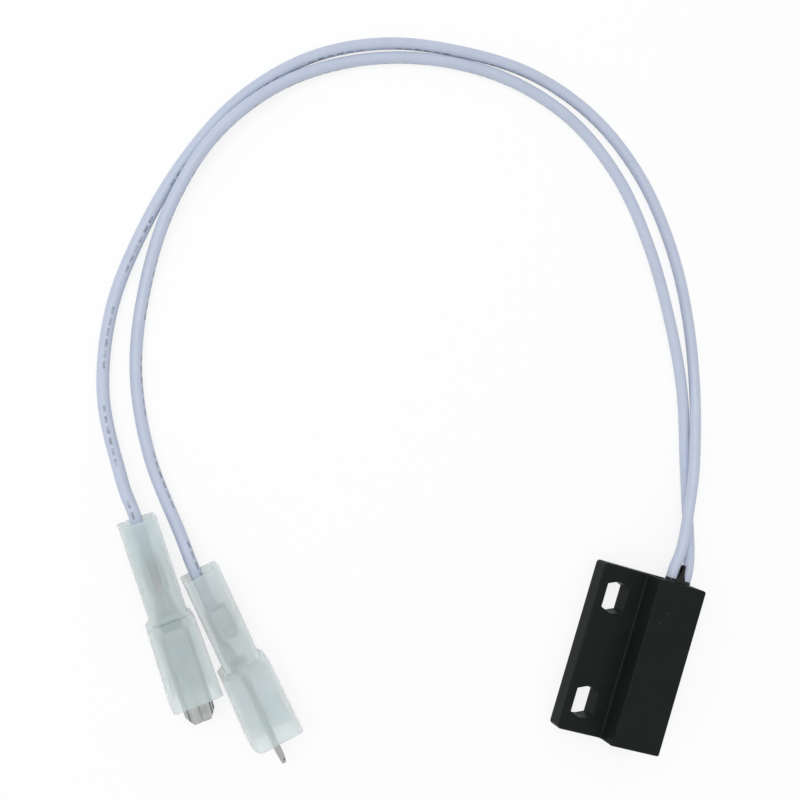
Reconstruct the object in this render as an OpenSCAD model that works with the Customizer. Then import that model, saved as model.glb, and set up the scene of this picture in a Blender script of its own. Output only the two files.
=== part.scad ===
// Flange-mount reed sensor with two insulated leads, each crimped into a tab
// terminal in a one-piece tab housing.
//
// Frame: the origin is on the underside of the sensor housing, at its centre.
// +Z is up out of the mounting face, +Y points to the end where the leads come
// out, the mounting flange lies at -X and the raised body at +X. Millimetres.

/* [Sensor housing] */
// Length of the housing along the leads
housing_l = 23; // [19:0.5:30]
// Width over the flange and the raised body
housing_w = 14; // [12:0.5:18]
// Height of the raised body above the mounting face
housing_h = 5.9; // [5:0.1:8]
// Width of the raised body
body_w = 7.3; // [6.8:0.1:8.8]
// Thickness of the mounting flange
flange_t = 2.6; // [1.6:0.1:3.6]
// Wall of the raised body round its cavity
wall = 0.8; // [0.6:0.05:0.9]
// Radius on the upright outer corners
corner_r = 0.5; // [0.2:0.05:0.8]
// Radius on the top edges
edge_r = 0.2; // [0.1:0.05:0.4]
// Radius in the corner where the body stands on the flange
step_r = 0.3; // [0.1:0.05:0.6]
// Radius in the corners of the cavity
cavity_r = 0.4; // [0.2:0.05:0.6]
// Depth of the chamfer round the rim of the cavity
rim_chamfer = 0.25; // [0.1:0.05:0.4]

/* [Mounting slots] */
// Width of a slot across the flange
slot_w = 3.3; // [2.6:0.1:4]
// Length of a slot along the flange
slot_l = 4.3; // [4:0.1:5.4]
// Distance between the two slot centres
slot_pitch = 14.5; // [8:0.5:15]
// Distance of the slot centres from the outer edge of the flange
slot_edge = 2.85; // [2.4:0.05:3.2]
// Slope of the flats that join a slot's sides to its curved ends, in degrees
slot_slope = 22; // [15:1:45]

/* [Potting] */
// Depth of the potted face below the end of the housing
potting_drop = 0.2; // [0:0.05:0.5]
// Height that the potting climbs round each lead
meniscus_h = 0.7; // [0.3:0.1:1]
// Width of the climbing potting beside each lead
meniscus_w = 0.35; // [0.2:0.05:0.4]
// Height of the peak that was drawn up between the leads
peak_h = 2.7; // [1:0.1:3]
// Half width of the peak at its tip
peak_tip = 0.14; // [0.08:0.02:0.24]
// Thickness of the peak through the height of the housing
peak_t = 1.6; // [0.8:0.1:1.8]

/* [Reed switch] */
// Outside diameter of the glass capsule
glass_d = 2; // [1.8:0.1:2.3]
// Length of the glass capsule
glass_l = 10; // [8:0.5:12]
// Wall of the glass capsule
glass_wall = 0.25; // [0.2:0.05:0.3]
// Length of glass that is melted round each blade
seal_l = 1.3; // [1.1:0.1:1.8]
// Diameter of a reed's round lead
reed_d = 0.5; // [0.45:0.05:0.6]
// Thickness of a flattened blade
blade_t = 0.2; // [0.15:0.01:0.22]
// Width of a flattened blade
blade_w = 1.1; // [0.8:0.1:1.3]
// Length over which the two blades face each other
blade_overlap = 1.2; // [0.6:0.1:1.6]
// Open contact gap between the blades
contact_gap = 0.05; // [0.03:0.01:0.08]
// Distance from the blind end of the cavity to the glass capsule
glass_setback = 2.7; // [2.5:0.1:3.2]

/* [Leads] */
// Outside diameter of the insulation
lead_d = 1.5; // [1.4:0.05:1.7]
// Diameter of the bare strands
strand_d = 0.76; // [0.6:0.02:0.8]
// Distance between the two leads where they leave the housing
lead_pitch = 2.2; // [2:0.1:2.6]
// Distance of the pair of leads from the middle of the raised body, away from the flange
lead_offset = 0.3; // [0:0.05:0.4]
// Height of the leads above the middle of the raised body where they leave it
lead_rise = 0.65; // [0.2:0.05:0.8]
// Length of bare strands inside the housing
strip_l = 3.8; // [3.2:0.1:4.6]
// Diameter of a solder joint
solder_d = 1.5; // [1.3:0.1:1.8]
// Length of a solder joint
solder_l = 2.2; // [1.9:0.1:2.6]

/* [Tab housings] */
// Length of the shroud from the sleeve to the mouth
shroud_l = 10.5; // [9:0.1:13]
// Width of the room inside the shroud, along the width of the tab
room_w = 4.6; // [4.3:0.1:6]
// Height of the room inside the shroud, through the thickness of the tab
room_h = 4.9; // [4.7:0.1:6.5]
// Wall of the shroud
shroud_wall = 0.55; // [0.45:0.05:0.9]
// Thickness of the cross wall between the sleeve and the shroud
cross_wall = 1.4; // [1:0.1:1.8]
// Wall of the sleeve beside the terminal
side_wall = 0.3; // [0.25:0.05:0.5]
// Wall of the sleeve above and below the terminal
deep_wall = 0.6; // [0.5:0.05:1]
// Radius on the long outer edges
shell_r = 0.7; // [0.4:0.1:0.9]
// Radius on the one rounded edge of the mouth
mouth_r = 1.3; // [0.8:0.1:1.6]
// Swell of the shroud at its mouth on each side
mouth_flare = 0.25; // [0.1:0.05:0.35]
// Bevel on the shoulder where the shroud begins
shoulder = 0.45; // [0.2:0.05:0.6]
// Depth of one of the two shallow ledges inside the mouth
ledge = 0.07; // [0.04:0.01:0.1]
// Distance from one ledge to the next
ledge_l = 1.4; // [1:0.1:1.8]

/* [Tab terminals] */
// Thickness of the terminal strip
strip_t = 0.4; // [0.3:0.02:0.48]
// Width of the folded tab
tab_w = 3.7; // [3.5:0.1:3.9]
// Length of the tab beyond the mouth of its housing
tab_out = 3.2; // [2:0.1:5]
// Length of the tab's pointed end
tab_point_l = 1.3; // [0.8:0.1:1.6]
// Width taken off each side of the pointed end
tab_point_w = 0.8; // [0.5:0.1:1]
// Width of the seam where the two leaves of the tab meet
seam_w = 0.14; // [0.06:0.02:0.2]
// Distance from the wire end of the housing to the open barrel
barrel_at = 4.9; // [4.5:0.1:7]
// Room beside the insulation between the wings of the open barrel
barrel_play = 0.1; // [0.05:0.05:0.6]
// Height of the open barrel behind the crimp
barrel_h = 2.9; // [2.6:0.1:3.5]
// Length of the open barrel
barrel_l = 3.9; // [3:0.1:4.6]
// Radius on the barrel's outer corners
barrel_r = 0.9; // [0.7:0.05:1.1]
// Opening between the curled wings of the barrel
barrel_gap = 1.1; // [0.8:0.1:1.4]
// Length of the closed crimp on the strands
crimp_l = 2.2; // [1.8:0.1:2.8]
// Width of the closed crimp
crimp_w = 1.9; // [1.7:0.1:2.3]
// Width of the stop plate that meets the cross wall
stop_w = 2.8; // [2.4:0.1:3.6]
// Width of the strip under the barrel and the crimp
strip_w = 1.6; // [1.2:0.1:1.9]
// Width of the neck that passes through the cross wall
neck_w = 2.6; // [2:0.1:3.1]
// Height that the strip rises from the sleeve's floor to the tab
tab_rise = 0.8; // [0.4:0.1:1]

/* [Hidden] */
$fn = 48;
eps = 0.01;        // overshoot of a cut past the face that it opens
fit = 0.1;         // play between a terminal and its housing
head_room = 0.3;   // free height above the barrel in the sleeve
room_r = 0.28;     // radius in the corners of the shroud's room

// Sensor housing
body_x = housing_w / 2 - body_w / 2;
end_y = housing_l / 2;
slot_x = -housing_w / 2 + slot_edge;
cavity_w = body_w - 2 * wall;
cavity_h = housing_h - 2 * wall;
cavity_end = -end_y + wall;
face_y = end_y - potting_drop;

// Reed switch, on a line below lead 1 so that strands and reed lie side by side
lead_x = [body_x + lead_offset - lead_pitch / 2, body_x + lead_offset + lead_pitch / 2];
lead_z = housing_h / 2 + lead_rise;
side_gap = 0.01;   // solder between the strands and the reed's lead
root_gap = 0.02;   // bare blade between the seal and the flexing length
lead_gap = 0.8;    // potting between the strands' tip and the glass
reed_tip = 0.2;    // reed lead that shows past the solder joint
bend_gap = 0.9;    // straight lead between the glass and the bend
peak_curve = 2.2;  // power of the curve that hollows the peak's sides
reed_x = lead_x[0];
reed_z = lead_z - (reed_d + strand_d) / 2 - side_gap;
glass_y = cavity_end + glass_setback;
glass_top = glass_y + glass_l;
bulb_y = glass_y + seal_l;
bulb_top = glass_top - seal_l;
contact_y = (bulb_y + bulb_top) / 2;
strand_y = glass_top + lead_gap + strip_l;
joint_y = strand_y - strip_l / 2 - lead_gap / 2;
solder_z = (lead_z + reed_z) / 2;
reed_end_y = joint_y + solder_l / 2 + reed_tip;
bend_y = glass_y - bend_gap;
reed_from = [glass_top - eps, bend_y];

// Terminal, along its own line from the wire end of its housing
neck_gap = 0.7;    // strip between the barrel and the crimp
stop_gap = 0.3;    // strip between the crimp and the stop plate
stop_over = 0.6;   // stop plate above the tab
wire_in = 0.4;     // insulation inside the barrel
strand_out = 0.2;  // strands past the crimp
strand_draw = 0.04; // thinning of the strands that are drawn down to the crimp
joggle_l = 2;      // length over which the strip rises to the tab
wing_cover = 0.28; // rolled wings above the strands
wing_lap = 0.06;   // rolled wing past the middle of the crimp
tip_bevel = 0.16;  // bevel of the tab's point, above and below
barrel_w = lead_d + barrel_play + 2 * strip_t;
crimp_y = barrel_at + barrel_l + neck_gap;
stop_y = crimp_y + crimp_l + stop_gap;
sleeve_l = stop_y + strip_t;
joggle_y = sleeve_l + fit;
tab_y = joggle_y + joggle_l - eps;
wire_end_y = barrel_at + wire_in;
strand_tip_y = crimp_y + crimp_l + strand_out;

// Tab housing round the terminal
bore_w = max(tab_w, barrel_w) + 2 * fit;
bore_h = barrel_h + head_room + 2 * fit;
sleeve_w = bore_w + 2 * side_wall;
sleeve_h = bore_h + 2 * deep_wall;
shroud_w = room_w + 2 * shroud_wall;
shroud_h = room_h + 2 * shroud_wall;
shell_l = sleeve_l + shroud_l;
tab_tip_y = shell_l + tab_out;

// Heights of the terminal from the housing's axis
floor_z = -bore_h / 2 + fit;
tab_t = 2 * strip_t;
tab_top = floor_z + tab_rise + tab_t;
crimp_z = floor_z + strip_t + strand_d / 2;
crimp_top = crimp_z + strand_d / 2 + wing_cover;
wire_z = floor_z + strip_t + lead_d / 2;

// Tab housings lie on the floor, the first with its tab flat, the second on edge
route_origin = [body_x, end_y, 0];
wire_end_at = [[-71.7, -10.3], [-62.7, -14.4]];
heading = [-55.5, -49];
roll = [0, -90];
axis_z = [shroud_h / 2 + mouth_flare, shroud_w / 2 + mouth_flare];

// Lead routes from the point between the leads on the end of the housing. The
// third number is how far the underside of the lead is above the floor.
route_1 = [[-0.4, 4.8, 2.7], [-0.9, 10.1, 2.5], [-1.9, 16.5, 2.1], [-4.2, 26.2, 0.6], [-8.2, 35.5, 0],
           [-13.8, 43.8, 0], [-21, 50.9, 0], [-29.7, 55.8, 0], [-39.5, 57.9, 0], [-49.5, 57.1, 0],
           [-59.3, 54.4, 0], [-67.8, 49.2, 0], [-74.3, 41.5, 0], [-78.4, 32.3, 0],
           [-80.7, 22.5, 0], [-81.4, 12.5, 0], [-79.4, 2.6, 0.2], [-74.7, -6.1, 1.3]];
route_2 = [[1.4, 4.6, 1.7], [0.3, 9.7, 0.3], [-1.9, 15.8, 0], [-5.6, 25.3, 0], [-10.6, 34.1, 0],
           [-16.6, 42.4, 0], [-23.8, 49.5, 0], [-32.7, 54.4, 0], [-42.7, 56.1, 0], [-52.8, 54.8, 0],
           [-62.2, 51, 0], [-70.2, 44.8, 0.8], [-75.9, 36.4, 1.3], [-78.5, 26.6, 1],
           [-78.5, 16.4, 0.2], [-76.6, 6.5, 0], [-72.2, -2.7, 0.3], [-66.1, -10.7, 1.6]];
exit_run = 1.2;    // straight lead outside the housing
lead_sides = 8;
ring_step = 0.5;   // share of a route interval between two rings
straight_in = 0.6; // straight lead before the sleeve

// Rectangle with true arcs at its corners, centred on the origin
module round_rect(w, h, r) {
    square([w - 2 * r, h], center = true);
    square([w, h - 2 * r], center = true);
    for (x = [-1, 1], y = [-1, 1])
        translate([x * (w / 2 - r), y * (h / 2 - r)]) circle(r);
}

// A flat outline of X and Z, drawn out along Y from y0 to y1
module along_y(y0, y1) {
    translate([0, y1, 0]) rotate([90, 0, 0]) linear_extrude(y1 - y0) children();
}

// A flat outline of Y and Z, drawn out along X over a width
module along_x(w) {
    translate([-w / 2, 0, 0]) rotate([90, 0, 90]) linear_extrude(w) children();
}

// A round bar along Y
module rod_y(d, y0, y1) {
    translate([0, y0, 0]) rotate([-90, 0, 0]) cylinder(d = d, h = y1 - y0);
}

// A turned bar along Y with domed ends
module capsule_y(d, y0, y1) {
    r = d / 2;
    l = y1 - y0;
    translate([0, y0, 0]) rotate([-90, 0, 0]) rotate_extrude() intersection() {
        union() {
            translate([0, r]) square([r, l - d]);
            for (y = [r, l - r]) translate([0, y]) circle(r);
        }
        square([r, l]);
    }
}

// Section of the flange, long enough to run into the raised body
module flange_section() {
    translate([-housing_w / 2 + edge_r, 0]) square([housing_w / 2, flange_t]);
    translate([-housing_w / 2, 0]) square([edge_r, flange_t - edge_r]);
    translate([-housing_w / 2 + edge_r, flange_t - edge_r]) circle(edge_r);
}

// Section of the raised body, with a fillet where it stands on the flange
module body_section() {
    body_left = body_x - body_w / 2;
    translate([body_x, housing_h / 2]) round_rect(body_w, housing_h, edge_r);
    translate([body_left, 0]) square([body_w, housing_h / 2]);
    translate([body_left - step_r, flange_t - eps]) difference() {
        square([step_r + eps, step_r + eps]);
        translate([0, step_r + eps]) circle(step_r);
    }
}

// A bar of the housing's length with upright corners and top edges rounded
module rounded_bar(h) {
    intersection() {
        along_y(-end_y, end_y) children();
        linear_extrude(h) round_rect(housing_w, housing_l, corner_r);
        along_x(housing_w) {
            translate([-end_y, 0]) square([housing_l, h - edge_r]);
            translate([edge_r - end_y, 0]) square([housing_l - 2 * edge_r, h]);
            for (s = [-1, 1]) translate([s * (end_y - edge_r), h - edge_r]) circle(edge_r);
        }
    }
}

// Slot with curved ends, which seat a screw, and sloping flats beside them
module slot_outline() {
    run = (slot_l - slot_w) / 2;
    r = slot_w / 2;
    touch = r * [sin(slot_slope), cos(slot_slope)];
    side_y = touch[1] - (r - touch[0]) * tan(slot_slope);
    square([slot_w, 2 * run], center = true);
    for (t = [-1, 1]) translate([0, t * run]) {
        circle(r);
        for (s = [-1, 1]) polygon([[0, 0], [s * r, 0], [s * r, t * side_y], [s * touch[0], t * touch[1]]]);
    }
}

module cavity_section() {
    translate([body_x, housing_h / 2]) round_rect(cavity_w, cavity_h, cavity_r);
}

// Four flats that open the rim of the cavity at the lead end
module rim_flats() {
    side = rim_chamfer * sqrt(2);
    translate([body_x, end_y, housing_h / 2]) for (s = [-1, 1]) {
        translate([s * cavity_w / 2, 0, 0]) rotate([0, 0, 45])
            cube([side, side, cavity_h - 2 * cavity_r], center = true);
        translate([0, 0, s * cavity_h / 2]) rotate([45, 0, 0])
            cube([cavity_w - 2 * cavity_r, side, side], center = true);
    }
}

module sensor_housing() {
    color([0.12, 0.13, 0.13]) difference() {
        union() {
            rounded_bar(flange_t) flange_section();
            rounded_bar(housing_h) body_section();
        }
        along_y(cavity_end, end_y + eps) cavity_section();
        rim_flats();
        for (s = [-1, 1]) translate([slot_x, s * slot_pitch / 2, -eps])
            linear_extrude(flange_t + 2 * eps) slot_outline();
    }
}

// Hollow side of the collar: one quarter of an ellipse round its outer top corner
module quarter_ellipse(rx, ry) {
    polygon(concat([[0, 0]], [for (a = [180:15:270]) [rx * cos(a), ry * sin(a)]]));
}

// Concave collar that climbs a lead, turned on the lead's own line
module meniscus() {
    top_r = lead_d / 2;
    rotate([-90, 0, 0]) rotate_extrude() difference() {
        square([top_r + meniscus_w, meniscus_h]);
        translate([top_r + meniscus_w, meniscus_h]) quarter_ellipse(meniscus_w, meniscus_h);
    }
}

// Peak of potting between the leads, wide at its foot and concave on both sides
module peak() {
    foot = lead_pitch / 2;
    steps = 8;
    right = [for (i = [0:steps])
        [peak_tip + (foot - peak_tip) * pow(1 - i / steps, peak_curve), peak_h * i / steps]];
    left = [for (i = [steps:-1:0]) [-right[i][0], right[i][1]]];
    translate([body_x + lead_offset, face_y, lead_z]) linear_extrude(peak_t, center = true)
        polygon(concat(right, left));
}

// Room that a lead takes inside the potting and just outside it
module lead_way(i) {
    bend = knots(i)[1];
    step = knots(i)[2] - bend;
    flat = norm([step[0], step[1]]);
    translate([lead_x[i], 0, lead_z]) rod_y(lead_d, strand_y, bend[1]);
    translate(bend) rotate([0, 0, -atan2(step[0], step[1])]) rotate([atan2(step[2], flat), 0, 0])
        rod_y(lead_d + 2 * fit, -fit, norm(step));
}

// Wire, reed lead and solder of one joint, as the potting closes round them
module joint_way(i) {
    translate([lead_x[i], 0, lead_z]) rod_y(strand_d, strand_y - strip_l, strand_y + eps);
    translate([lead_x[i], 0, solder_z]) solder_bead();
    translate([lead_x[i], 0, reed_z]) rod_y(reed_d, reed_from[i], reed_end_y);
}

module potting_compound() {
    color([0.07, 0.07, 0.075]) difference() {
        union() {
            along_y(cavity_end, face_y) cavity_section();
            intersection() {
                along_y(face_y - eps, end_y + peak_h) cavity_section();
                union() {
                    for (x = lead_x) translate([x, face_y - eps, lead_z]) meniscus();
                    peak();
                }
            }
        }
        for (i = [0, 1]) {
            lead_way(i);
            joint_way(i);
        }
        translate([reed_x, 0, reed_z]) {
            capsule_y(glass_d, glass_y, glass_top);
            rod_y(reed_d, bend_y, glass_y + glass_d / 2);
        }
        far_bend();
    }
}

// Bead of solder round the strands and the reed's lead
module solder_bead() {
    capsule_y(solder_d, joint_y - solder_l / 2, joint_y + solder_l / 2);
}

module solder_joint(i) {
    color([0.74, 0.75, 0.76]) translate([lead_x[i], 0, 0]) difference() {
        translate([0, 0, solder_z]) solder_bead();
        translate([0, 0, lead_z]) rod_y(strand_d, strand_y - strip_l, strand_y);
        translate([0, 0, reed_z]) rod_y(reed_d, reed_from[i], reed_end_y);
    }
}

module inner_strands(i) {
    color([0.8, 0.62, 0.5]) translate([lead_x[i], 0, lead_z])
        rod_y(strand_d, strand_y - strip_l, strand_y);
}

// Glass tube with a sealed gas space round the blades
module reed_glass() {
    color([0.55, 0.72, 0.62, 0.6]) translate([reed_x, 0, reed_z]) difference() {
        capsule_y(glass_d, glass_y, glass_top);
        rod_y(glass_d - 2 * glass_wall, bulb_y, bulb_top);
        rod_y(reed_d, glass_y - eps, glass_top + eps);
    }
}

// The blades lie on both sides of the reed's axis, half the contact gap away
module blade(y0, y1, side) {
    low = (side > 0) ? contact_gap / 2 : -contact_gap / 2 - blade_t;
    translate([-blade_w / 2, y0, low]) cube([blade_w, y1 - y0, blade_t]);
}

module reed_blade_fixed() {
    color([0.72, 0.72, 0.7]) translate([reed_x, 0, reed_z]) {
        rod_y(reed_d, bulb_top, reed_end_y);
        blade(contact_y - blade_overlap / 2, bulb_top, 1);
    }
}

module reed_blade_moving() {
    color([0.72, 0.72, 0.7]) translate([reed_x, 0, reed_z])
        blade(bulb_y + root_gap, contact_y + blade_overlap / 2, -1);
}

// Half turn that brings the far reed lead back beside the glass
module far_bend() {
    r = lead_pitch / 2;
    translate([reed_x + r, bend_y, reed_z]) rotate([0, 0, 180])
        rotate_extrude(angle = 180) translate([r, 0]) circle(d = reed_d);
}

// Sealed root of the moving blade, and its lead bent back beside the glass
module reed_lead_far() {
    color([0.72, 0.72, 0.7]) {
        translate([reed_x, 0, reed_z]) rod_y(reed_d, bend_y, bulb_y);
        far_bend();
        translate([lead_x[1], 0, reed_z]) rod_y(reed_d, bend_y, reed_end_y);
    }
}

// Place children in the frame of one tab housing: Y runs from the wire end to
// the mouth, X along the width of the tab and Z through its thickness
module at_shell(i) {
    translate(route_origin + [wire_end_at[i][0], wire_end_at[i][1], axis_z[i]])
        rotate([0, 0, heading[i] - 90]) rotate([0, roll[i], 0]) children();
}

// A point on the wire's line inside a tab housing, at a distance from its wire end
function shell_point(i, y) =
    let (dir = [cos(heading[i]), sin(heading[i]), 0],
         lift = (i == 0) ? [0, 0, wire_z] : wire_z * [-dir[1], dir[0], 0])
    route_origin + [wire_end_at[i][0], wire_end_at[i][1], axis_z[i]] + y * dir + lift;

// One interval of a smooth curve through a, b, c and d, from b to c
function smooth(a, b, c, d, t) =
    0.5 * (2 * b + (c - a) * t + (2 * a - 5 * b + 4 * c - d) * t * t
           + (3 * b - a - 3 * c + d) * t * t * t);

// A point of a lead that can't sink into the floor
function above_floor(q) = [q[0], q[1], max(q[2], lead_d / 2)];

// Points that a lead goes through, straight out of the housing and into its sleeve
function knots(i) = concat(
    [[lead_x[i], strand_y, lead_z], [lead_x[i], end_y + exit_run, lead_z]],
    [for (q = (i == 0) ? route_1 : route_2) route_origin + q + [0, 0, lead_d / 2]],
    [shell_point(i, -straight_in), shell_point(i, wire_end_y)]);

// All ring centres of a lead, straight at both ends and smooth between
function lead_line(i) =
    let (all = knots(i), last = len(all) - 1)
    concat([all[0]],
           [for (k = [1:last - 2]) for (t = [0:ring_step:1 - ring_step])
               above_floor(smooth(all[k - 1], all[k], all[k + 1], all[k + 2], t))],
           [all[last - 1], all[last]]);

function unit(v) = v / norm(v);
function tangent(line, k) = unit(line[min(k + 1, len(line) - 1)] - line[max(k - 1, 0)]);
function ring(centre, dir, r) =
    let (side = unit(cross([0, 0, 1], dir)), up = cross(dir, side))
    [for (s = [0:lead_sides - 1])
        let (a = 360 * s / lead_sides) centre + r * (cos(a) * side + sin(a) * up)];

// Tube swept along a line of points, closed at both ends
module tube(line, r) {
    n = lead_sides;
    points = [for (k = [0:len(line) - 1]) each ring(line[k], tangent(line, k), r)];
    walls = [for (k = [0:len(line) - 2]) for (s = [0:n - 1])
        let (a = k * n + s, b = k * n + (s + 1) % n)
        each [[a, b, b + n], [a, b + n, a + n]]];
    near = [for (s = [n - 1:-1:0]) s];
    far = [for (s = [0:n - 1]) (len(line) - 1) * n + s];
    polyhedron(points, concat(walls, [near, far]), convexity = 6);
}

module lead(i) {
    color([0.78, 0.81, 0.87]) tube(lead_line(i), lead_d / 2);
}

// Bare strands: out of the insulation, down to the strip, then level in the crimp
module crimped_strands(i) {
    run = crimp_y - wire_end_y;
    dip = wire_z - crimp_z;
    color([0.85, 0.55, 0.42]) at_shell(i) {
        translate([0, 0, crimp_z]) rod_y(strand_d, crimp_y - strand_d / 2, strand_tip_y);
        translate([0, wire_end_y, wire_z]) rotate([-atan2(dip, run), 0, 0])
            rod_y(strand_d - strand_draw, 0, norm([run, dip]));
    }
}

// Open barrel with curled wings, as strip bent to a channel
module barrel_section() {
    translate([0, floor_z + barrel_h / 2]) difference() {
        round_rect(barrel_w, barrel_h, barrel_r);
        round_rect(barrel_w - 2 * strip_t, barrel_h - 2 * strip_t, barrel_r - strip_t);
        translate([-barrel_gap / 2, 0]) square([barrel_gap, barrel_h]);
    }
}

// Closed crimp: both wings rolled in on the strands, with a groove between
module crimp_section() {
    lobe = crimp_w / 4 + wing_lap;
    difference() {
        union() {
            translate([-crimp_w / 2, floor_z]) square([crimp_w, crimp_top - floor_z - lobe]);
            for (s = [-1, 1]) translate([s * (crimp_w / 2 - lobe), crimp_top - lobe]) circle(lobe);
        }
        translate([0, crimp_z]) circle(d = strand_d);
    }
}

// Side view of the strip where it rises from the floor to the tab
module joggle_side() {
    steps = 6;
    low = [for (i = [0:steps])
        [joggle_y + joggle_l * i / steps, floor_z + tab_rise * (1 - cos(180 * i / steps)) / 2]];
    high = [for (i = [steps:-1:0]) low[i] + [0, strip_t + (tab_t - strip_t) * i / steps]];
    polygon(concat(low, high));
}

// Folded tab: two leaves closed on each other, with a seam along the middle
module folded_tab() {
    point_y = tab_tip_y - tab_point_l;
    point_x = tab_w / 2 - tab_point_w;
    difference() {
        intersection() {
            translate([0, 0, tab_top - tab_t / 2]) along_y(tab_y, tab_tip_y)
                round_rect(tab_w, tab_t, tab_t / 2 - eps);
            translate([0, 0, tab_top - tab_t]) linear_extrude(tab_t) polygon([
                [-tab_w / 2, tab_y], [tab_w / 2, tab_y], [tab_w / 2, point_y],
                [point_x, tab_tip_y], [-point_x, tab_tip_y], [-tab_w / 2, point_y]]);
            along_x(tab_w) polygon([
                [tab_y, tab_top - tab_t], [point_y, tab_top - tab_t],
                [tab_tip_y, tab_top - tab_t + tip_bevel], [tab_tip_y, tab_top - tip_bevel],
                [point_y, tab_top], [tab_y, tab_top]]);
        }
        translate([-seam_w / 2, tab_y + strip_t, tab_top - strip_t])
            cube([seam_w, tab_tip_y - tab_y, strip_t + eps]);
    }
}

module tab_terminal(i) {
    crimp_end = crimp_y + crimp_l;
    color([0.78, 0.77, 0.75]) at_shell(i) {
        along_y(barrel_at, barrel_at + barrel_l) barrel_section();
        translate([-strip_w / 2, barrel_at, floor_z]) cube([strip_w, crimp_end - barrel_at, strip_t]);
        along_y(crimp_y, crimp_end) crimp_section();
        translate([-neck_w / 2, crimp_end - strip_t, floor_z])
            cube([neck_w, joggle_y - crimp_end + strip_t, strip_t]);
        translate([-stop_w / 2, stop_y, floor_z])
            cube([stop_w, strip_t, tab_top + stop_over - floor_z]);
        along_x(neck_w) joggle_side();
        folded_tab();
    }
}

// A thin slice of the shroud's outline, grown on every side
module shroud_slice(y, grow) {
    along_y(y, y + eps) round_rect(shroud_w + 2 * grow, shroud_h + 2 * grow, shell_r, $fn = 32);
}

// Outer skin of a tab housing: sleeve, shoulder and shroud swelling to its mouth
module shell_outside() {
    along_y(0, sleeve_l + eps) round_rect(sleeve_w, sleeve_h, shell_r);
    hull() {
        shroud_slice(sleeve_l, -shoulder);
        shroud_slice(sleeve_l + shoulder, 0);
        shroud_slice(shell_l - eps, mouth_flare);
    }
}

// Side view of a tab housing, with one edge of the mouth rounded
module shell_side() {
    mouth_h = shroud_h + 2 * mouth_flare;
    difference() {
        translate([0, -mouth_h / 2]) square([shell_l, mouth_h]);
        translate([shell_l - mouth_r, -mouth_h / 2]) difference() {
            translate([0, -eps]) square([mouth_r + eps, mouth_r + eps]);
            translate([0, mouth_r]) circle(mouth_r);
        }
    }
}

// Passage through the cross wall, open for the widest part of the terminal that
// goes through it and closed above the tab, where the stop plate meets the wall
module passage() {
    h = tab_top - floor_z + 2 * fit;
    translate([-tab_w / 2 - fit, floor_z - fit]) square([tab_w + 2 * fit, h]);
}

module tab_housing(i) {
    room_y = sleeve_l + cross_wall;
    color([0.8, 0.84, 0.83, 0.8]) at_shell(i) difference() {
        intersection() {
            shell_outside();
            along_x(shroud_w + 4 * mouth_flare) shell_side();
        }
        along_y(-eps, sleeve_l) round_rect(bore_w, bore_h, fit);
        along_y(sleeve_l - eps, room_y + eps) passage();
        along_y(room_y, shell_l + eps) round_rect(room_w, room_h, room_r);
        for (k = [1, 2]) along_y(shell_l - ledge_l * k, shell_l + eps)
            round_rect(room_w + 2 * ledge * (3 - k), room_h + 2 * ledge * (3 - k), room_r);
    }
}

sensor_housing();
potting_compound();
reed_glass();
reed_blade_fixed();
reed_blade_moving();
reed_lead_far();
solder_joint(0);  // solder_joint_1
solder_joint(1);  // solder_joint_2
inner_strands(0);  // inner_strands_1
inner_strands(1);  // inner_strands_2
lead(0);  // lead_1
lead(1);  // lead_2
crimped_strands(0);  // crimped_strands_1
crimped_strands(1);  // crimped_strands_2
tab_terminal(0);  // tab_terminal_1
tab_terminal(1);  // tab_terminal_2
tab_housing(0);  // tab_housing_1
tab_housing(1);  // tab_housing_2
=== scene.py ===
# Reed sensor on two leads: leads, strands, finishes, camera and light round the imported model
import math
import bmesh
import bpy
from mathutils import Matrix, Vector


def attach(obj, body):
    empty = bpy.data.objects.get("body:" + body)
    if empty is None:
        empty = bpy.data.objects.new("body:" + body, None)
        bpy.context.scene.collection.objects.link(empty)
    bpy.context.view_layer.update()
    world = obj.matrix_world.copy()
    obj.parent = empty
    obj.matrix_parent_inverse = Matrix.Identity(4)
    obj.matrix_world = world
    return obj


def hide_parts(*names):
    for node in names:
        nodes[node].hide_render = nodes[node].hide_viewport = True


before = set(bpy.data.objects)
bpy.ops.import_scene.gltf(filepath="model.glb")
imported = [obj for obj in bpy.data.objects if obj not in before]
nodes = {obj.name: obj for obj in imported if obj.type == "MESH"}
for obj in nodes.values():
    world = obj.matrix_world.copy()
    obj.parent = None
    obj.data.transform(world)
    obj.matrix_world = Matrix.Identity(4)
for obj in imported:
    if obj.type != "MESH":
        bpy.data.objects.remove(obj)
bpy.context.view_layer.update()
mm = 0.001
print("frame loaded:", len(nodes), "nodes")


cameraSettings = {
    "place": (-88, 19, 150),  # mm, high over the two connectors
    "target": (-40.4, 24.1, 0),  # mm, the middle of the picture
    "roll": 16.7,  # degrees, anticlockwise
    "lens": 55.44, "sensorWidth": 36,  # mm
    "near": 0.005, "far": 10,  # m, what lies between these is drawn
}


def placeCamera(s):
    data = bpy.data.cameras.new("photoCamera")
    data.lens = s["lens"]
    data.sensor_width = s["sensorWidth"]
    data.clip_start = s["near"]
    data.clip_end = s["far"]
    camera = bpy.data.objects.new("photoCamera", data)
    bpy.context.scene.collection.objects.link(camera)
    place = Vector(s["place"]) * mm
    back = (place - Vector(s["target"]) * mm).normalized()
    level = Vector((0, 1, 0)).cross(back).normalized()
    upright = back.cross(level)
    roll = math.radians(s["roll"])
    right = level * math.cos(roll) + upright * math.sin(roll)
    up = upright * math.cos(roll) - level * math.sin(roll)
    turn = Matrix((right, up, back)).transposed().to_4x4()
    camera.matrix_world = Matrix.Translation(place) @ turn
    bpy.context.scene.camera = camera


placeCamera(cameraSettings)
print("camera placed")


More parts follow.
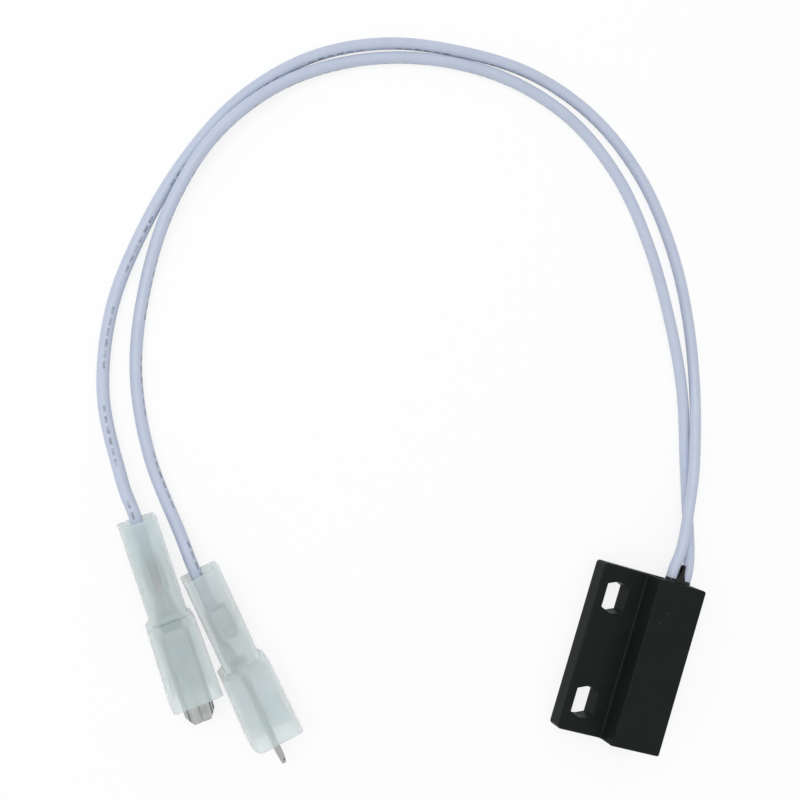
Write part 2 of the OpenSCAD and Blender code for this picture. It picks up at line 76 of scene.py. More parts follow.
def srgb(hexText):  # "c8d0dc" as the linear colour that the shaders want
    parts = [int(hexText[i:i + 2], 16) / 255 for i in (0, 2, 4)]
    linear = [p / 12.92 if p <= 0.04045 else ((p + 0.055) / 1.055) ** 2.4 for p in parts]
    return (*linear, 1)


# inputs go by name or number: a colour Mix has its factor at 0, its colours at 6 and 7, and its
# result at output 2
def addNode(tree, kind, settings=None, inputs=None):
    node = tree.nodes.new(kind)
    for name, value in (settings or {}).items():
        setattr(node, name, value)
    for name, value in (inputs or {}).items():
        if isinstance(value, bpy.types.NodeSocket):
            tree.links.new(value, node.inputs[name])
        else:
            node.inputs[name].default_value = value
    return node


def startMaterial(name, inputs):
    material = bpy.data.materials.new(name)
    material.use_nodes = True
    tree = material.node_tree
    tree.nodes.clear()
    shader = addNode(tree, "ShaderNodeBsdfPrincipled", None, inputs)
    addNode(tree, "ShaderNodeOutputMaterial", None, {"Surface": shader.outputs[0]})
    return material, tree, shader


noiseLow, noiseHigh = 0.35, 0.65  # nearly all of a noise lies between these

# Extruded soft PVC: a pale lavender skin with a dull wax shine, and faint length marks in ink
insulation = {
    "colour": "c3ccde", "shade": "b9c2d5",
    "cloud": 3.0,  # mm, drift of the pigment
    "grain": 0.3,  # mm, coarser than the real die lines so that it shows
    "bump": (0.1, 0.03),  # strength, and height in mm
    "roughness": 0.42, "ior": 1.53, "specular": 0.4,
    "soft": 0.12,  # share of the light that sinks in
    "softDepth": 0.5, "softColour": (0.8, 0.9, 1),  # mm, and how much of that in each colour
    "mark": "6e7384",
    "markPitch": 1.3, "markLength": 0.9, "markHeight": 0.32,  # mm
    "marksInRow": 6, "rowPitch": 9,  # counted in marks
    "wear": 0.9,  # mm, patches where the ink is thin
    "ink": (0.25, 0.75),  # how much of it is left, least and most
    "markTurn": ((-0.23, 0.003), (-0.144, 0.0016)),  # start and turns per mm, 0.25 is on top
}


def makeInsulation(s, i):
    material, tree, shader = startMaterial("extrudedPvc%d" % (i + 1), {
        "Roughness": s["roughness"], "IOR": s["ior"], "Specular IOR Level": s["specular"],
        "Subsurface Weight": s["soft"], "Subsurface Radius": s["softColour"],
        "Subsurface Scale": s["softDepth"] * mm})
    place = addNode(tree, "ShaderNodeTexCoord").outputs["Object"]
    cloud = addNode(tree, "ShaderNodeTexNoise", None,
                    {"Vector": place, "Scale": 1 / (s["cloud"] * mm), "Detail": 2})
    skin = addNode(tree, "ShaderNodeMix", {"data_type": "RGBA"},
                   {0: cloud.outputs["Fac"], 6: srgb(s["shade"]), 7: srgb(s["colour"])})

    # the UV map runs along the lead in metres and round it in turns
    uv = addNode(tree, "ShaderNodeUVMap", {"uv_map": "UVMap"})
    axes = addNode(tree, "ShaderNodeSeparateXYZ", None, {0: uv.outputs[0]})
    along, turn = axes.outputs["X"], axes.outputs["Y"]
    inMarks = []
    for repeat, share in ((s["markPitch"], s["markLength"] / s["markPitch"]),
                          (s["markPitch"] * s["rowPitch"], s["marksInRow"] / s["rowPitch"])):
        count = addNode(tree, "ShaderNodeMath", {"operation": "DIVIDE"},
                        {0: along, 1: repeat * mm})
        part = addNode(tree, "ShaderNodeMath", {"operation": "FRACT"}, {0: count.outputs[0]})
        inMarks.append(addNode(tree, "ShaderNodeMath", {"operation": "LESS_THAN"},
                               {0: part.outputs[0], 1: share}))

    # the marks wander slowly round the lead, as its twist does
    start, perMm = s["markTurn"][i]
    drift = addNode(tree, "ShaderNodeMath", {"operation": "MULTIPLY_ADD"},
                    {0: along, 1: perMm / mm, 2: start})
    off = addNode(tree, "ShaderNodeMath", {"operation": "SUBTRACT"},
                  {0: turn, 1: drift.outputs[0]})
    off = addNode(tree, "ShaderNodeMath", {"operation": "WRAP"},
                  {0: off.outputs[0], 1: 0.5, 2: -0.5})
    off = addNode(tree, "ShaderNodeMath", {"operation": "ABSOLUTE"}, {0: off.outputs[0]})
    halfTurn = s["markHeight"] / (math.pi * leadSettings["diameter"]) / 2
    inMarks.append(addNode(tree, "ShaderNodeMath", {"operation": "LESS_THAN"},
                           {0: off.outputs[0], 1: halfTurn}))

    worn = addNode(tree, "ShaderNodeTexNoise", None,
                   {"Vector": place, "Scale": 1 / (s["wear"] * mm), "Detail": 2})
    ink = addNode(tree, "ShaderNodeMapRange", None, {
        "Value": worn.outputs["Fac"], "From Min": noiseLow, "From Max": noiseHigh,
        "To Min": s["ink"][0], "To Max": s["ink"][1]})
    for inMark in inMarks:
        ink = addNode(tree, "ShaderNodeMath", {"operation": "MULTIPLY"},
                      {0: ink.outputs[0], 1: inMark.outputs[0]})
    colour = addNode(tree, "ShaderNodeMix", {"data_type": "RGBA"},
                     {0: ink.outputs[0], 6: skin.outputs[2], 7: srgb(s["mark"])})
    grain = addNode(tree, "ShaderNodeTexNoise", None,
                    {"Vector": place, "Scale": 1 / (s["grain"] * mm), "Detail": 2})
    bump = addNode(tree, "ShaderNodeBump", None, {
        "Height": grain.outputs["Fac"], "Strength": s["bump"][0], "Distance": s["bump"][1] * mm})
    tree.links.new(colour.outputs[2], shader.inputs["Base Color"])
    tree.links.new(bump.outputs[0], shader.inputs["Normal"])
    return material


# Leads: the points repeat the CAD model's route, in mm from the housing's lead end
leadSettings = {
    "diameter": 1.5,  # mm over the insulation
    "sides": 20,  # of the tube
    "steps": 8,  # rings in each interval of the route
    "bodyX": 3.35, "endY": 11.5,  # mm, the point on the housing that the routes start from
    "leadX": (2.55, 4.75), "exitZ": 3.6,  # mm, where each lead leaves the housing
    "exitRun": 1.2, "strandY": 6.6,  # mm, straight outside, and where it starts inside
    "sleeveMouth": ((-71.7, -10.3), (-62.7, -14.4)),  # mm, where each lead enters its housing
    "axisZ": (3.25, 3.1),  # mm, how high each tab housing's axis is
    "heading": (-55.5, -49),  # degrees, the way each tab housing points
    "straightIn": 0.6,  # mm, straight before the mouth
    "insulationEnd": (5.3, -0.45),  # mm past the mouth, and height over the axis
    # across, along, and how far the lead's underside is above the floor
    "routes": (
        ((-0.4, 4.8, 2.7), (-0.9, 10.1, 2.5), (-1.9, 16.5, 2.1), (-4.2, 26.2, 0.6),
         (-8.2, 35.5, 0), (-13.8, 43.8, 0), (-21, 50.9, 0), (-29.7, 55.8, 0), (-39.5, 57.9, 0),
         (-49.5, 57.1, 0), (-59.3, 54.4, 0), (-67.8, 49.2, 0), (-74.3, 41.5, 0),
         (-78.4, 32.3, 0), (-80.7, 22.5, 0), (-81.4, 12.5, 0), (-79.4, 2.6, 0.2),
         (-74.7, -6.1, 1.3)),
        ((1.4, 4.6, 1.7), (0.3, 9.7, 0.3), (-1.9, 15.8, 0), (-5.6, 25.3, 0), (-10.6, 34.1, 0),
         (-16.6, 42.4, 0), (-23.8, 49.5, 0), (-32.7, 54.4, 0), (-42.7, 56.1, 0),
         (-52.8, 54.8, 0), (-62.2, 51, 0), (-70.2, 44.8, 0.8), (-75.9, 36.4, 1.3),
         (-78.5, 26.6, 1), (-78.5, 16.4, 0.2), (-76.6, 6.5, 0), (-72.2, -2.7, 0.3),
         (-66.1, -10.7, 1.6))),
}


def shellPoint(s, i, y, across=0.0, height=0.0):  # y past the mouth of tab housing i
    angle = math.radians(s["heading"][i])
    along = Vector((math.cos(angle), math.sin(angle), 0))
    left, up = Vector((-along.y, along.x, 0)), Vector((0, 0, 1))
    mouthX, mouthY = s["sleeveMouth"][i]
    start = Vector((s["bodyX"] + mouthX, s["endY"] + mouthY, s["axisZ"][i]))
    if i == 0:  # the first lies with its tab flat, the second on edge
        return start + along * y - left * across + up * height
    return start + along * y + up * across + left * height


def smoothPoint(a, b, c, d, t):  # from b to c on the smooth curve through all four
    return 0.5 * (2 * b + (c - a) * t + (2 * a - 5 * b + 4 * c - d) * t ** 2
                  + (3 * b - a - 3 * c + d) * t ** 3)


def leadLine(s, i):
    half = s["diameter"] / 2
    knots = [Vector((s["leadX"][i], s["strandY"], s["exitZ"])),
             Vector((s["leadX"][i], s["endY"] + s["exitRun"], s["exitZ"]))]
    knots += [Vector((s["bodyX"] + x, s["endY"] + y, rise + half))
              for x, y, rise in s["routes"][i]]
    endY, endZ = s["insulationEnd"]
    knots += [shellPoint(s, i, -s["straightIn"], 0, endZ), shellPoint(s, i, endY, 0, endZ)]
    line = knots[:1]
    for k in range(1, len(knots) - 2):
        line += [smoothPoint(*knots[k - 1:k + 3], j / s["steps"]) for j in range(s["steps"])]
    line += knots[-2:]
    return [Vector((p.x, p.y, max(p.z, half))) * mm for p in line]  # never below the floor


def frameAt(line, k):  # a turn whose Z runs along the line and whose X lies level
    ahead = (line[min(k + 1, len(line) - 1)] - line[max(k - 1, 0)]).normalized()
    side = Vector((0, 0, 1)).cross(ahead).normalized()
    up = ahead.cross(side)
    return Matrix.Translation(line[k]) @ Matrix((side, up, ahead)).transposed().to_4x4()


def sweepTube(bm, line, radius, sides):
    uv = bm.loops.layers.uv.get("UVMap") or bm.loops.layers.uv.new("UVMap")
    frames = [frameAt(line, k) for k in range(len(line))]
    made = bmesh.ops.create_circle(bm, cap_ends=False, segments=sides, radius=radius,
                                   matrix=frames[0])
    edges = list({e for v in made["verts"] for e in v.link_edges})
    firstEdges, run = edges, 0.0
    for k in range(1, len(line)):
        result = bmesh.ops.extrude_edge_only(bm, edges=edges)["geom"]
        newRing = {g for g in result if isinstance(g, bmesh.types.BMVert)}
        edges = [g for g in result
                 if isinstance(g, bmesh.types.BMEdge) and set(g.verts) <= newRing]
        bmesh.ops.transform(bm, matrix=frames[k] @ frames[k - 1].inverted(),
                            verts=list(newRing))
        step = (line[k] - line[k - 1]).length
        for face in [g for g in result if isinstance(g, bmesh.types.BMFace)]:
            turns = []
            for loop in face.loops:
                onNew = loop.vert in newRing
                local = frames[k if onNew else k - 1].inverted() @ loop.vert.co
                turns.append((loop, onNew, math.atan2(local.y, local.x) / math.tau % 1))
            wraps = max(t[2] for t in turns) - min(t[2] for t in turns) > 0.5
            for loop, onNew, turn in turns:  # the face over the seam runs on past one turn
                loop[uv].uv = (run + (step if onNew else 0),
                               turn + (1 if wraps and turn < 0.5 else 0))
        run += step
    bmesh.ops.holes_fill(bm, edges=firstEdges + edges, sides=sides)


def finishPiece(bm, name, material):
    bmesh.ops.recalc_face_normals(bm, faces=bm.faces)
    mesh = bpy.data.meshes.new(name)
    bm.to_mesh(mesh)
    bm.free()
    mesh.materials.append(material)
    for polygon in mesh.polygons:
        polygon.use_smooth = len(polygon.vertices) == 4  # the end caps stay flat
    piece = bpy.data.objects.new(name, mesh)
    bpy.context.scene.collection.objects.link(piece)
    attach(piece, "sensor")
    return piece


def makeLead(s, i):
    line = leadLine(s, i)
    bm = bmesh.new()
    sweepTube(bm, line, s["diameter"] / 2 * mm, s["sides"])
    piece = finishPiece(bm, "leadInsulation%d" % (i + 1), makeInsulation(insulation, i))
    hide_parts("lead_%d" % (i + 1))
    return piece, line


leads = [makeLead(leadSettings, i) for i in (0, 1)]


# Drawn copper strand: warm bright metal, a little browned by handling
copper = {
    "colour": "d98f66", "brown": "a9653f",
    "patch": 0.5,  # mm
    "roughness": (0.32, 0.52),  # least and most
}


def makeCopper(s):
    material, tree, shader = startMaterial("drawnCopper", {"Metallic": 1})
    place = addNode(tree, "ShaderNodeTexCoord").outputs["Object"]
    cloud = addNode(tree, "ShaderNodeTexNoise", None,
                    {"Vector": place, "Scale": 1 / (s["patch"] * mm), "Detail": 3})
    tone = addNode(tree, "ShaderNodeMapRange", None, {
        "Value": cloud.outputs["Fac"], "From Min": noiseLow, "From Max": noiseHigh})
    colour = addNode(tree, "ShaderNodeMix", {"data_type": "RGBA"},
                     {0: tone.outputs[0], 6: srgb(s["colour"]), 7: srgb(s["brown"])})
    rough = addNode(tree, "ShaderNodeMapRange", None, {
        "Value": tone.outputs[0], "To Min": s["roughness"][0], "To Max": s["roughness"][1]})
    tree.links.new(colour.outputs[2], shader.inputs["Base Color"])
    tree.links.new(rough.outputs[0], shader.inputs["Roughness"])
    return material


# Strands: seven twisted wires from the cut insulation down into the crimp
strandSettings = {
    "count": 7,  # the last one is the core
    "thickness": 0.25,  # mm
    "sides": 8,  # of each strand
    "twist": 0.35,  # radians per mm
    "steps": 4,  # rings in each interval
    # mm past the mouth of the tab housing, and height over its axis
    "knots": ((4.3, -0.45), (5.3, -0.45), (8, -0.55), (9.5, -0.82), (10.6, -0.82), (11.9, -0.82)),
}


def makeStrands(s, lead, i, material):
    bm = bmesh.new()
    for n in range(s["count"]):
        spread = 0 if n == s["count"] - 1 else s["thickness"]
        line = []
        for (y0, z0), (y1, z1) in zip(s["knots"], s["knots"][1:]):
            atEnd = y1 == s["knots"][-1][0]
            for j in range(s["steps"] + (1 if atEnd else 0)):
                y = y0 + (y1 - y0) * j / s["steps"]
                z = z0 + (z1 - z0) * j / s["steps"]
                turn = math.tau * n / (s["count"] - 1) + y * s["twist"]
                line.append(shellPoint(lead, i, y, spread * math.cos(turn),
                                       z + spread * math.sin(turn)) * mm)
        sweepTube(bm, line, s["thickness"] / 2 * mm, s["sides"])
    piece = finishPiece(bm, "strandBundle%d" % (i + 1), material)
    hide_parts("crimped_strands_%d" % (i + 1))
    return piece


copperMaterial = makeCopper(copper)
strands = [makeStrands(strandSettings, leadSettings, i, copperMaterial) for i in (0, 1)]
print("strands twisted")


# Moulded PBT, black: satin skin off a finely etched mould, a few pale specks of dust
blackPlastic = {
    "colour": "171c1a", "worn": "1e2422",
    "cloud": 2.5,  # mm, flow of the melt
    "etch": 0.16,  # mm, coarser than the real etching so that it shows
    "bump": (0.15, 0.04),  # strength, and height in mm
    "speck": 2.2, "speckSize": 0.035, "speckColour": "4a5050",  # mm between specks, share of that
    "roughness": (0.35, 0.5),  # least and most
    "ior": 1.55, "specular": 0.05,
}


def makeBlackPlastic(s):
    material, tree, shader = startMaterial("mouldedBlackPbt", {
        "IOR": s["ior"], "Specular IOR Level": s["specular"]})
    place = addNode(tree, "ShaderNodeTexCoord").outputs["Object"]
    cloud = addNode(tree, "ShaderNodeTexNoise", None,
                    {"Vector": place, "Scale": 1 / (s["cloud"] * mm), "Detail": 3})
    skin = addNode(tree, "ShaderNodeMix", {"data_type": "RGBA"},
                   {0: cloud.outputs["Fac"], 6: srgb(s["colour"]), 7: srgb(s["worn"])})
    cells = addNode(tree, "ShaderNodeTexVoronoi", None,
                    {"Vector": place, "Scale": 1 / (s["speck"] * mm)})
    speck = addNode(tree, "ShaderNodeMath", {"operation": "LESS_THAN"},
                    {0: cells.outputs["Distance"], 1: s["speckSize"]})
    colour = addNode(tree, "ShaderNodeMix", {"data_type": "RGBA"},
                     {0: speck.outputs[0], 6: skin.outputs[2], 7: srgb(s["speckColour"])})
    etch = addNode(tree, "ShaderNodeTexNoise", None,
                   {"Vector": place, "Scale": 1 / (s["etch"] * mm), "Detail": 2})
    bump = addNode(tree, "ShaderNodeBump", None, {
        "Height": etch.outputs["Fac"], "Strength": s["bump"][0], "Distance": s["bump"][1] * mm})
    rough = addNode(tree, "ShaderNodeMapRange", None, {
        "Value": cloud.outputs["Fac"],
        "To Min": s["roughness"][0], "To Max": s["roughness"][1]})
    tree.links.new(colour.outputs[2], shader.inputs["Base Color"])
    tree.links.new(rough.outputs[0], shader.inputs["Roughness"])
    tree.links.new(bump.outputs[0], shader.inputs["Normal"])
    return material


# Cast black epoxy: glassy, with the slow swell of a liquid that set
epoxy = {
    "colour": "0c0e0e",
    "swell": 1.4,  # mm
    "bump": (0.35, 0.1),  # strength, and height in mm
    "roughness": (0.2, 0.32),  # least and most
    "ior": 1.55, "specular": 0.25,
}


def makeEpoxy(s):
    material, tree, shader = startMaterial("castBlackEpoxy", {
        "Base Color": srgb(s["colour"]), "IOR": s["ior"], "Specular IOR Level": s["specular"]})
    place = addNode(tree, "ShaderNodeTexCoord").outputs["Object"]
    swell = addNode(tree, "ShaderNodeTexNoise", None,
                    {"Vector": place, "Scale": 1 / (s["swell"] * mm), "Detail": 1})
    bump = addNode(tree, "ShaderNodeBump", None, {
        "Height": swell.outputs["Fac"], "Strength": s["bump"][0], "Distance": s["bump"][1] * mm})
    rough = addNode(tree, "ShaderNodeMapRange", None, {
        "Value": swell.outputs["Fac"],
        "To Min": s["roughness"][0], "To Max": s["roughness"][1]})
    tree.links.new(rough.outputs[0], shader.inputs["Roughness"])
    tree.links.new(bump.outputs[0], shader.inputs["Normal"])
    return material


# Natural nylon, moulded: milky and greenish, and its thin walls let the metal show
milkyPlastic = {
    "colour": "dde9ea", "deep": "d6e2e3",
    "flow": 2.4, "swirl": 0.6,  # streaks of the melt in mm, and how far they bend
    "grain": 0.35,  # mm, skin of the mould
    "bump": (0.06, 0.05),  # strength, and height in mm
    "cover": 0.46,  # share of the light that one skin of a wall takes up or bends
    "clear": 0.18,  # share of that light that goes on, blurred
    "soft": 0.8,  # share of the light that sinks in
    "softDepth": 0.8, "softColour": (1, 1, 1),  # mm, and how much of that in each colour
    "roughness": 0.2, "ior": 1.53,
}


def makeMilkyPlastic(s):
    material, tree, shader = startMaterial("mouldedNaturalNylon", {
        "Roughness": s["roughness"], "IOR": s["ior"],
        "Alpha": s["cover"], "Transmission Weight": s["clear"],
        "Subsurface Weight": s["soft"], "Subsurface Radius": s["softColour"],
        "Subsurface Scale": s["softDepth"] * mm})
    place = addNode(tree, "ShaderNodeTexCoord").outputs["Object"]
    flow = addNode(tree, "ShaderNodeTexNoise", None, {
        "Vector": place, "Scale": 1 / (s["flow"] * mm), "Detail": 3, "Distortion": s["swirl"]})
    colour = addNode(tree, "ShaderNodeMix", {"data_type": "RGBA"},
                     {0: flow.outputs["Fac"], 6: srgb(s["deep"]), 7: srgb(s["colour"])})
    grain = addNode(tree, "ShaderNodeTexNoise", None,
                    {"Vector": place, "Scale": 1 / (s["grain"] * mm), "Detail": 2})
    bump = addNode(tree, "ShaderNodeBump", None, {
        "Height": grain.outputs["Fac"], "Strength": s["bump"][0], "Distance": s["bump"][1] * mm})
    tree.links.new(colour.outputs[2], shader.inputs["Base Color"])
    tree.links.new(bump.outputs[0], shader.inputs["Normal"])
    return material


# Tinned bronze strip, rolled and stamped: soft grey metal with rolling lines along the tab, and
# painted shade, a dark colour laid into the seam and the two creases of the folded tab
tinnedStrip = {
    "colour": "b9bcba", "dull": "a0a3a2",
    "line": 0.12, "lineLength": 4,  # mm, coarser than real rolling lines so that they show
    "shear": 1.5,  # mm, the same lines down a cut edge
    "patch": 1.6,  # mm, duller patches of the tin
    "tone": (0.8, 1.2),  # lines and patches added up, where dull begins and ends
    "bump": (0.15, 0.02),  # strength, and height in mm
    "roughness": (0.2, 0.38),  # least and most
    "shade": "3c4042", "paintedShadeAmount": 0.75, "paintedShadeWidth": 0.18,  # painted shade in seam and creases: colour, how strongly it is laid on, width in mm
    "creasePitch": 1.4,  # mm from the seam to each crease
    "tabFrom": 14.5, "tabOpen": -0.35,  # mm, where the folded tab and its upper leaf begin, and with them the painted shade
}


def makeTinnedStrip(s, i):
    material, tree, shader = startMaterial("tinnedStrip%d" % (i + 1), {"Metallic": 1})
    place = addNode(tree, "ShaderNodeTexCoord").outputs["Object"]
    inTab = addNode(tree, "ShaderNodeMapping", {"vector_type": "TEXTURE"}, {
        "Vector": place, "Location": shellPoint(leadSettings, i, 0) * mm,
        "Rotation": (0, 0, math.radians(leadSettings["heading"][i])),
        "Scale": (mm, mm, mm)})  # now X runs along the tab, Y to its left and Z up, in mm
    if i == 0:  # the first tab lies flat, the second on edge
        across, height, fineness = "Y", "Z", (s["lineLength"], s["line"], s["shear"])
    else:
        across, height, fineness = "Z", "Y", (s["lineLength"], s["shear"], s["line"])
    stretched = addNode(tree, "ShaderNodeMapping", {"vector_type": "TEXTURE"},
                        {"Vector": inTab.outputs[0], "Scale": fineness})
    lines = addNode(tree, "ShaderNodeTexNoise", None,
                    {"Vector": stretched.outputs[0], "Scale": 1, "Detail": 2})
    patch = addNode(tree, "ShaderNodeTexNoise", None,
                    {"Vector": inTab.outputs[0], "Scale": 1 / s["patch"], "Detail": 3})
    both = addNode(tree, "ShaderNodeMath", {"operation": "ADD"},
                   {0: lines.outputs["Fac"], 1: patch.outputs["Fac"]})
    tone = addNode(tree, "ShaderNodeMapRange", None, {
        "Value": both.outputs[0], "From Min": s["tone"][0], "From Max": s["tone"][1]})
    skin = addNode(tree, "ShaderNodeMix", {"data_type": "RGBA"},
                   {0: tone.outputs[0], 6: srgb(s["dull"]), 7: srgb(s["colour"])})

    # painted shade: the colour darkens towards the seam and the two creases, in the tab's own
    # coordinates
    axes = addNode(tree, "ShaderNodeSeparateXYZ", None, {0: inTab.outputs[0]})
    fromFold = addNode(tree, "ShaderNodeMath", {"operation": "PINGPONG"},
                       {0: axes.outputs[across], 1: s["creasePitch"] / 2})  # 0 at each fold
    shade = addNode(tree, "ShaderNodeMapRange", {"interpolation_type": "SMOOTHSTEP"}, {
        "Value": fromFold.outputs[0], "From Min": 0, "From Max": s["paintedShadeWidth"],
        "To Min": s["paintedShadeAmount"], "To Max": 0})
    # the painted shade is kept to the folded tab and its upper leaf
    for axis, least in (("X", s["tabFrom"]), (height, s["tabOpen"])):
        past = addNode(tree, "ShaderNodeMath", {"operation": "GREATER_THAN"},
                       {0: axes.outputs[axis], 1: least})
        shade = addNode(tree, "ShaderNodeMath", {"operation": "MULTIPLY"},
                        {0: shade.outputs[0], 1: past.outputs[0]})
    # the painted shade laid over the metal's colour
    colour = addNode(tree, "ShaderNodeMix", {"data_type": "RGBA"},
                     {0: shade.outputs[0], 6: skin.outputs[2], 7: srgb(s["shade"])})
    rough = addNode(tree, "ShaderNodeMapRange", None, {
        "Value": lines.outputs["Fac"],
        "To Min": s["roughness"][0], "To Max": s["roughness"][1]})
    bump = addNode(tree, "ShaderNodeBump", None, {
        "Height": lines.outputs["Fac"], "Strength": s["bump"][0], "Distance": s["bump"][1] * mm})
    tree.links.new(colour.outputs[2], shader.inputs["Base Color"])
    tree.links.new(rough.outputs[0], shader.inputs["Roughness"])
    tree.links.new(bump.outputs[0], shader.inputs["Normal"])
    return material


# Nickel iron for the reeds: annealed wire, pressed flat where it is a blade, so faintly streaked
reedMetal = {
    "colour": "b7b5ae", "streak": "928f88",
    "width": 0.08, "length": 1.5,  # mm, of one streak
    "roughness": (0.28, 0.43),  # least and most
}


def makeReedMetal(s):
    material, tree, shader = startMaterial("annealedNickelIron", {"Metallic": 1})
    place = addNode(tree, "ShaderNodeTexCoord").outputs["Object"]
    stretched = addNode(tree, "ShaderNodeMapping", {"vector_type": "TEXTURE"}, {
        "Vector": place, "Scale": (s["width"] * mm, s["length"] * mm, s["width"] * mm)})
    streak = addNode(tree, "ShaderNodeTexNoise", None,
                     {"Vector": stretched.outputs[0], "Scale": 1, "Detail": 3})
    colour = addNode(tree, "ShaderNodeMix", {"data_type": "RGBA"},
                     {0: streak.outputs["Fac"], 6: srgb(s["streak"]), 7: srgb(s["colour"])})
    rough = addNode(tree, "ShaderNodeMapRange", None, {
        "Value": streak.outputs["Fac"],
        "To Min": s["roughness"][0], "To Max": s["roughness"][1]})
    tree.links.new(colour.outputs[2], shader.inputs["Base Color"])
    tree.links.new(rough.outputs[0], shader.inputs["Roughness"])
    return material


# Tin solder that cooled in place: bright, with dull frosted grains
solder = {
    "bright": "c3c5c7", "frosted": "9b9d9f",
    "grain": 0.25,  # mm
    "bump": (0.2, 0.03),  # strength, and height in mm
    "roughness": (0.24, 0.54),  # least and most
}


def makeSolder(s):
    material, tree, shader = startMaterial("cooledSolder", {"Metallic": 1})
    place = addNode(tree, "ShaderNodeTexCoord").outputs["Object"]
    grain = addNode(tree, "ShaderNodeTexVoronoi", None,
                    {"Vector": place, "Scale": 1 / (s["grain"] * mm)})
    colour = addNode(tree, "ShaderNodeMix", {"data_type": "RGBA"},
                     {0: grain.outputs["Distance"], 6: srgb(s["bright"]), 7: srgb(s["frosted"])})
    rough = addNode(tree, "ShaderNodeMapRange", None, {
        "Value": grain.outputs["Distance"],
        "To Min": s["roughness"][0], "To Max": s["roughness"][1]})
    bump = addNode(tree, "ShaderNodeBump", None, {
        "Height": grain.outputs["Distance"],
        "Strength": s["bump"][0], "Distance": s["bump"][1] * mm})
    tree.links.new(colour.outputs[2], shader.inputs["Base Color"])
    tree.links.new(rough.outputs[0], shader.inputs["Roughness"])
    tree.links.new(bump.outputs[0], shader.inputs["Normal"])
    return material


# Tinned copper where the strands are soldered: grey tin that thins to a copper blush
tinnedCopper = {
    "tin": "bdbab4", "blush": "c99a7c",
    "patch": 0.4,  # mm
    "thin": (0.45, 0.7),  # where in the noise the tin thins, and where the copper is bare
    "roughness": (0.3, 0.5),  # least and most
}


def makeTinnedCopper(s):
    material, tree, shader = startMaterial("tinnedCopper", {"Metallic": 1})
    place = addNode(tree, "ShaderNodeTexCoord").outputs["Object"]
    patch = addNode(tree, "ShaderNodeTexNoise", None,
                    {"Vector": place, "Scale": 1 / (s["patch"] * mm), "Detail": 3})
    thin = addNode(tree, "ShaderNodeMapRange", None, {
        "Value": patch.outputs["Fac"], "From Min": s["thin"][0], "From Max": s["thin"][1]})
    colour = addNode(tree, "ShaderNodeMix", {"data_type": "RGBA"},
                     {0: thin.outputs[0], 6: srgb(s["tin"]), 7: srgb(s["blush"])})
    rough = addNode(tree, "ShaderNodeMapRange", None, {
        "Value": patch.outputs["Fac"],
        "To Min": s["roughness"][0], "To Max": s["roughness"][1]})
    tree.links.new(colour.outputs[2], shader.inputs["Base Color"])
    tree.links.new(rough.outputs[0], shader.inputs["Roughness"])
    return material


# Drawn green glass of the capsule: clear, with slow ripples from the draw
sealGlass = {
    "colour": "cfe6d8", "pale": "dceee3",
    "ripple": 1.2,  # mm
    "bump": (0.1, 0.05),  # strength, and height in mm
    "roughness": 0.02, "ior": 1.52,
}


def makeSealGlass(s):
    material, tree, shader = startMaterial("drawnSealGlass", {
        "Roughness": s["roughness"], "IOR": s["ior"], "Transmission Weight": 1})
    place = addNode(tree, "ShaderNodeTexCoord").outputs["Object"]
    ripple = addNode(tree, "ShaderNodeTexNoise", None,
                     {"Vector": place, "Scale": 1 / (s["ripple"] * mm), "Detail": 1})
    colour = addNode(tree, "ShaderNodeMix", {"data_type": "RGBA"},
                     {0: ripple.outputs["Fac"], 6: srgb(s["colour"]), 7: srgb(s["pale"])})
    bump = addNode(tree, "ShaderNodeBump", None, {
        "Height": ripple.outputs["Fac"], "Strength": s["bump"][0], "Distance": s["bump"][1] * mm})
    tree.links.new(colour.outputs[2], shader.inputs["Base Color"])
    tree.links.new(bump.outputs[0], shader.inputs["Normal"])
    return material


# each finish, and the CAD nodes that have it
finishes = (
    (makeBlackPlastic(blackPlastic), ["sensor_housing"]),
    (makeEpoxy(epoxy), ["potting_compound"]),
    (makeSealGlass(sealGlass), ["reed_glass"]),
    (makeTinnedStrip(tinnedStrip, 0), ["tab_terminal_1"]),
    (makeTinnedStrip(tinnedStrip, 1), ["tab_terminal_2"]),
    (makeReedMetal(reedMetal), ["reed_blade_fixed", "reed_blade_moving", "reed_lead_far"]),
    (makeSolder(solder), ["solder_joint_1", "solder_joint_2"]),
    (makeTinnedCopper(tinnedCopper), ["inner_strands_1", "inner_strands_2"]),
    (makeMilkyPlastic(milkyPlastic), ["tab_housing_1", "tab_housing_2"]),
)
for material, names in finishes:
    for name in names:
        for slot in nodes[name].material_slots:
            slot.material = material
print("finishes on", sum(len(names) for material, names in finishes), "CAD nodes")


# Matt white paper under a large soft lamp, in a plain pale room
stageSettings = {
    "floor": "ffffff", "floorSize": 1.2,  # m to each side
    "floorRoughness": 0.9,
    "floorDrop": 0.02,  # mm, so that the floor isn't in one plane with the undersides
    "glow": 0.8,  # share of plain white that the camera sees in the floor
    "world": 0.66,  # what the room's white gives the surfaces
    "lampSize": 0.35, "lampPower": 1.2,  # m and W
    "lampPlace": (-0.3, 0.08, 0.5),  # m
    "middle": (-0.04, 0.02, 0),  # m, of the floor, and what the lamp is aimed at
}


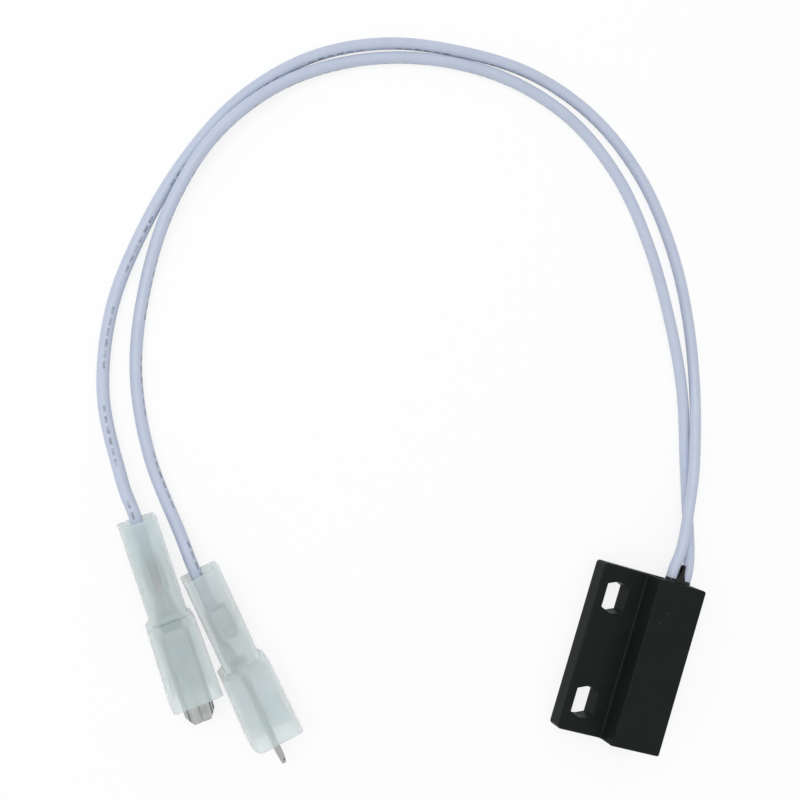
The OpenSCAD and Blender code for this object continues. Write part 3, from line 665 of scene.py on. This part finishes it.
def addPlainWhite(tree, shader, share):  # white as seen directly, through glass or in metal
    rays = addNode(tree, "ShaderNodeLightPath")
    seen = rays.outputs["Is Camera Ray"]
    for kind in ("Is Glossy Ray", "Is Transmission Ray"):
        seen = addNode(tree, "ShaderNodeMath", {"operation": "MAXIMUM"},
                       {0: seen, 1: rays.outputs[kind]}).outputs[0]
    part = addNode(tree, "ShaderNodeMath", {"operation": "MULTIPLY"}, {0: seen, 1: share})
    glow = addNode(tree, "ShaderNodeEmission", None, {"Color": (1, 1, 1, 1), "Strength": 1})
    return addNode(tree, "ShaderNodeMixShader", None,
                   {0: part.outputs[0], 1: shader.outputs[0], 2: glow.outputs[0]})


def makeFloor(s):
    bm = bmesh.new()
    bmesh.ops.create_grid(bm, x_segments=1, y_segments=1, size=s["floorSize"])
    bmesh.ops.translate(bm, verts=bm.verts,
                        vec=Vector(s["middle"]) - Vector((0, 0, s["floorDrop"] * mm)))
    mesh = bpy.data.meshes.new("floor")
    bm.to_mesh(mesh)
    bm.free()
    material, tree, shader = startMaterial("mattPaper", {
        "Base Color": srgb(s["floor"]), "Roughness": s["floorRoughness"],
        "Specular IOR Level": 0})
    mix = addPlainWhite(tree, shader, s["glow"])
    tree.links.new(mix.outputs[0], tree.get_output_node("ALL").inputs["Surface"])
    mesh.materials.append(material)
    floor = bpy.data.objects.new("floor", mesh)
    bpy.context.scene.collection.objects.link(floor)


def makeLight(s):
    world = bpy.data.worlds.new("softRoom")
    world.use_nodes = True
    tree = world.node_tree
    tree.nodes.clear()
    background = addNode(tree, "ShaderNodeBackground", None,
                         {"Color": (1, 1, 1, 1), "Strength": s["world"]})
    mix = addPlainWhite(tree, background, 1)
    addNode(tree, "ShaderNodeOutputWorld", None, {"Surface": mix.outputs[0]})
    bpy.context.scene.world = world
    lamp = bpy.data.lights.new("softbox", "AREA")
    lamp.shape = "SQUARE"
    lamp.size = s["lampSize"]
    lamp.energy = s["lampPower"]
    lampObject = bpy.data.objects.new("softbox", lamp)
    lampObject.location = s["lampPlace"]
    aim = Vector(s["middle"]) - lampObject.location
    lampObject.rotation_euler = aim.to_track_quat("-Z", "Y").to_euler()
    bpy.context.scene.collection.objects.link(lampObject)


makeFloor(stageSettings)
makeLight(stageSettings)
bpy.context.scene.view_settings.view_transform = "Standard"
print("floor and light set")
